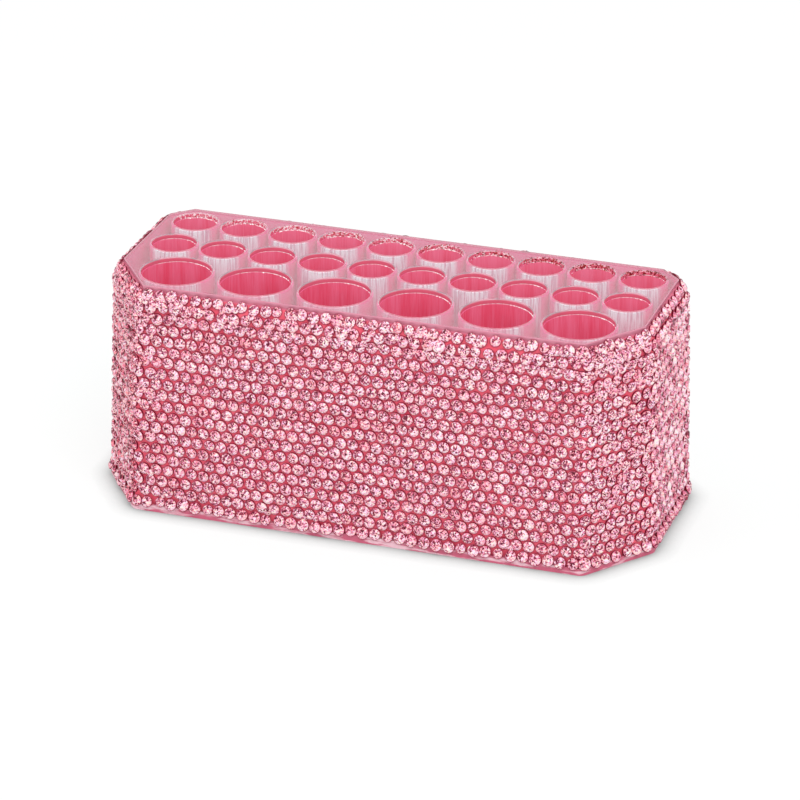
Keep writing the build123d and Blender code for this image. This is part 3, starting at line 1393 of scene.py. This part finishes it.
    def build_side(
        self,
        side: str,
        places: np.ndarray,
        material: Material,
        draws: np.random.Generator,
    ) -> bpy.types.Object:
        """Sets a copy of the stone at every place of one side.

        A copy's corner is the place plus its own right, up and outward directions times the
        stone's X, Y and Z. Loose stones are tipped, shifted and lifted more than neat ones, and
        a slow wave runs along the rows.

        Args:
            side: Name of the side.
            places: The side's rows of places.
            material: The stones' material.
            draws: Source of chance.

        Returns:
            The side's stones as one piece.
        """
        vertices, groups = self.stone()
        count = len(places)
        faced, tip, loose, size = places[:, 3:].T
        sway = 0.02 + 0.12 * loose
        faced = faced + draws.normal(0, 1, count) * sway
        tip = tip + draws.normal(0, 1, count) * sway
        level = np.cos(tip)
        out = np.column_stack([np.cos(faced) * level, np.sin(faced) * level, np.sin(tip)])
        right = np.column_stack([-np.sin(faced), np.cos(faced), np.zeros(count)])
        up = np.cross(out, right)
        spin = draws.uniform(0, 2 * math.pi, count)
        across = right * np.cos(spin)[:, None] + up * np.sin(spin)[:, None]
        turned = np.stack([across, np.cross(out, across), out], axis=1)
        shift = draws.normal(0, 1, (count, 2)) * (0.06 + 0.3 * loose)[:, None] * MM
        wave = 0.2 * MM * np.sin(places[:, 0] / (13 * MM) + places[:, 1] / (9 * MM))
        lift = 0.25 * MM * loose * draws.uniform(0, 1, count)
        lift += 0.02 * MM + 0.3 * MM * (size < self.filler_limit)
        middle = places[:, :3] + right * shift[:, :1] + up * (shift[:, 1:] + wave[:, None])
        middle += out * lift[:, None]
        placed = np.einsum("vk,nkx->nvx", vertices, turned) * size[:, None, None]
        placed += middle[:, None, :]
        faces = Faces.of(*groups).copies(count, len(vertices))
        piece = make_piece(f"{side}_rhinestones", placed, faces, material, False)
        look = SIDE_LOOKS.get(side, SideLook())
        centres = np.vstack([vertices[group].mean(axis=1) for group in groups])
        # The facets' tones are painted reflections, with the side's painted light.
        tones, warmth = self.facets(centres, spin, look, draws)
        add_attribute(piece, "calm", "FACE", np.full(tones.shape, look.calm))
        add_attribute(piece, "glint", "FACE", tones)
        add_attribute(piece, "blush", "FACE", warmth)
        from_axis = np.hypot(vertices[:, 0], vertices[:, 1]) / self.stone_radius
        add_attribute(piece, "girdle", "POINT", np.tile(from_axis, count))
        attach(piece, BODY)
        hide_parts(f"{side}_stones")
        return piece

    def facets(
        self,
        centres: np.ndarray,
        spin: np.ndarray,
        look: SideLook,
        draws: np.random.Generator,
    ) -> tuple[np.ndarray, np.ndarray]:
        """Tone, a painted reflection, and warmth of every facet.

        A facet's tone is a painted reflection of what its foiled back throws at it: chance,
        raised on the facets that look down to the bright table top, and lowered to painted dark
        reflections on some of the table and a few of the crown. On a calm side it is raised, a
        painted highlight, on those that look to the upper left.

        Args:
            centres: Middles of the stone's faces, in the stone's own directions.
            spin: How far each stone is turned in its place.
            look: The look of the side.
            draws: Source of chance.

        Returns:
            The tones and the warmths, with a stone in each row and its faces in order.
        """
        count, calm = len(spin), look.calm
        radius = np.hypot(centres[:, 0], centres[:, 1]) / self.stone_radius
        looks = np.arctan2(centres[:, 1], centres[:, 0]) + spin[:, None]
        low = -np.sin(looks - 0.6)
        chance = draws.uniform(0, 1, looks.shape)
        # Each stone's mood: chance, plus its side's painted light or shade.
        mood = look.tone + draws.normal(0, 1, count) * (0.05 + 0.25 * (look.contrast - 1))
        luck = 0.7 * (1 - 0.6 * calm) * (chance - 0.5)
        lit = 0.22 * (1 - calm) * low + 0.4 * calm * np.cos(looks - self.calm_way)
        tone = 0.5 + mood[:, None] + look.contrast * (lit + luck)
        table, crown = (
            (radius >= inner) & (radius < outer)
            for inner, outer in (self.table_ring, self.crown_ring)
        )
        dark_share = (1 - calm) * (self.dark_share - 0.14 * low)
        dark = (draws.uniform(0, 1, looks.shape) < dark_share) & table
        dim_share = self.dim_share * look.contrast**2
        dim = (draws.uniform(0, 1, looks.shape) < dim_share) & crown
        tone = np.where(dim, 0.35 * chance, np.where(dark, 0.3 * chance, tone))
        warmth = np.clip(draws.normal(0.15, 0.25, count), 0, 1)[:, None]
        warmth = warmth + look.warmth * draws.uniform(0.0, 1.0, looks.shape)
        return np.clip(tone, 0, 1), warmth


@dataclass
class CaseShell:
    """The walls and the base plate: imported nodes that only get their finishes.

    Attributes:
        wall_finish: Finish of the walls.
        base_finish: Finish of the base plate.
    """

    wall_finish: TintedWall
    base_finish: SolidSheet

    def dress(self) -> None:
        """Gives each wall and the base plate its material."""
        wall, base = self.wall_finish.make(), self.base_finish.make()
        for name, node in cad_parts.items():
            if name.endswith("_wall"):
                self.paint(node, wall)
            elif name == "base_plate":
                self.paint(node, base)

    @staticmethod
    def paint(node: bpy.types.Object, material: Material) -> None:
        """Puts one material in all of a node's slots."""
        for slot in node.material_slots:
            slot.material = material


@dataclass
class Studio:
    """Pale floor, soft lamps and the camera at the photograph's angle.

    Attributes:
        floor_size: Length of the floor's sides.
        floor_height: Height of the floor, a hair under the base plate.
        camera_place: The camera's place.
        camera_right: Direction to the right of its picture.
        camera_up: Direction up its picture.
        focal_pixels: Its focal length in pixels of the photograph.
        picture_side: Pixels along the photograph's side.
        sensor: Width of its sensor, in millimetres.
        clip: Nearest and furthest distance that it sees.
        sky: Strength of the even light all round.
        contact: Distance within which the object darkens the floor.
        lamps: Name, place, size and power of each lamp.
        aim: Point that the lamps look at.
    """

    floor_size: float = 6.0
    floor_height: float = -0.05 * MM
    camera_place: Place = (0.4645, -1.4183, 0.7152)
    camera_right: Place = (0.95009956, 0.31189411, 0.00573424)
    camera_up: Place = (-0.13339956, 0.3896112, 0.91126707)
    focal_pixels: float = 4073.8
    picture_side: float = 800.0
    sensor: float = 36.0
    clip: Span = (0.05, 20.0)
    sky: float = 0.85
    contact: float = 9.0 * MM
    lamps: tuple[tuple[str, Place, float, float], ...] = (
        ("key", (0.9, -1.1, 1.5), 1.0, 14.0),
        ("fill", (-1.3, -0.8, 0.9), 1.2, 5.0),
    )
    aim: Place = (0.0, 0.0, 0.05)

    def build(self) -> None:
        """Sets up the floor, the world, the lamps and the camera."""
        bpy.context.scene.view_settings.view_transform = "Standard"
        self.build_floor()
        self.build_world()
        for name, place, size, power in self.lamps:
            self.build_lamp(name, place, size, power)
        self.build_camera()

    def build_floor(self) -> None:
        """Lays the floor: white where it is looked at, with the object's shadow left on it."""
        square = np.array([[-1, -1, 0], [1, -1, 0], [1, 1, 0], [-1, 1, 0]])
        corners = self.floor_size / 2 * square + [0, 0, self.floor_height]
        bench = NodeBench("studio_floor")
        clouds = bench.noise(bench.place(), 3.0)
        plain = bench.ramp(clouds, [(0.0, (0.78, 0.78, 0.78, 1)), (1.0, (0.8, 0.8, 0.8, 1))])
        seen_as = bench.ramp(clouds, [(0.0, (0.19, 0.205, 0.2, 1)), (1.0, (0.2, 0.215, 0.21, 1))])
        seen = bench.looked_at()
        diffuse = bench.add("ShaderNodeBsdfDiffuse", Color=bench.blend(seen, plain, seen_as))
        fine = {"samples": 16}
        sky = bench.add("ShaderNodeAmbientOcclusion", settings=fine, Distance=self.contact)
        open_sky = bench.maths("MULTIPLY", sky.outputs["AO"], 0.8)
        strength = bench.maths("MULTIPLY", seen, open_sky)
        glow = bench.add("ShaderNodeEmission", Strength=strength)
        both = bench.add("ShaderNodeAddShader", diffuse.outputs[0], glow.outputs[0])
        quad = Faces.of(np.array([[0, 1, 2, 3]]))
        floor = make_piece("studio_floor", corners, quad, bench.finish(both), False)

    def build_world(self) -> None:
        """Makes the even pale surroundings, white where they are looked at."""
        bench = NodeBench("studio", world=True)
        strength = bench.maths("MULTIPLY_ADD", bench.looked_at(), 1 - self.sky, self.sky)
        background = bench.add("ShaderNodeBackground", Color=WHITE, Strength=strength)
        bpy.context.scene.world = bench.finish(background)

    def build_lamp(self, name: str, place: Place, size: float, power: float) -> None:
        """Hangs one square soft lamp that looks at the object.

        Args:
            name: Name of the lamp.
            place: Its place.
            size: Length of its sides.
            power: Its power in watts.
        """
        light = bpy.data.lights.new(name, "AREA")
        light.shape = "SQUARE"
        light.size = size
        light.energy = power
        lamp = bpy.data.objects.new(name, light)
        lamp.location = place
        way = Vector(self.aim) - Vector(place)
        lamp.rotation_euler = way.to_track_quat("-Z", "Y").to_euler()
        bpy.context.scene.collection.objects.link(lamp)

    def build_camera(self) -> None:
        """Sets the camera by its measured place and directions."""
        data = bpy.data.cameras.new("camera")
        data.sensor_fit = "HORIZONTAL"
        data.sensor_width = self.sensor
        data.lens = self.sensor * self.focal_pixels / self.picture_side
        data.clip_start, data.clip_end = self.clip
        camera = bpy.data.objects.new("camera", data)
        right, up = Vector(self.camera_right), Vector(self.camera_up)
        turned = Matrix((right, up, right.cross(up))).transposed().to_4x4()
        camera.matrix_world = Matrix.Translation(self.camera_place) @ turned
        bpy.context.scene.collection.objects.link(camera)
        bpy.context.scene.camera = camera


def main() -> None:
    """Builds the object class by class, then the studio."""
    logging.basicConfig(level=logging.INFO, format="%(name)s: %(message)s")
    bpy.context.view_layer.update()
    outline = CaseOutline()
    pieces = [TopPlate(outline, ClearSheet()).build()]
    pieces += SocketTubes(DrawnTube()).build()
    pieces += StoneCourses(outline, FoiledStone()).build()
    for piece in pieces:
        LOG.info("%s: %d faces", piece.name, len(piece.data.polygons))
    CaseShell(TintedWall(), SolidSheet()).dress()
    LOG.info("walls and base plate dressed")
    Studio().build()


if __name__ == "__main__":
    main()
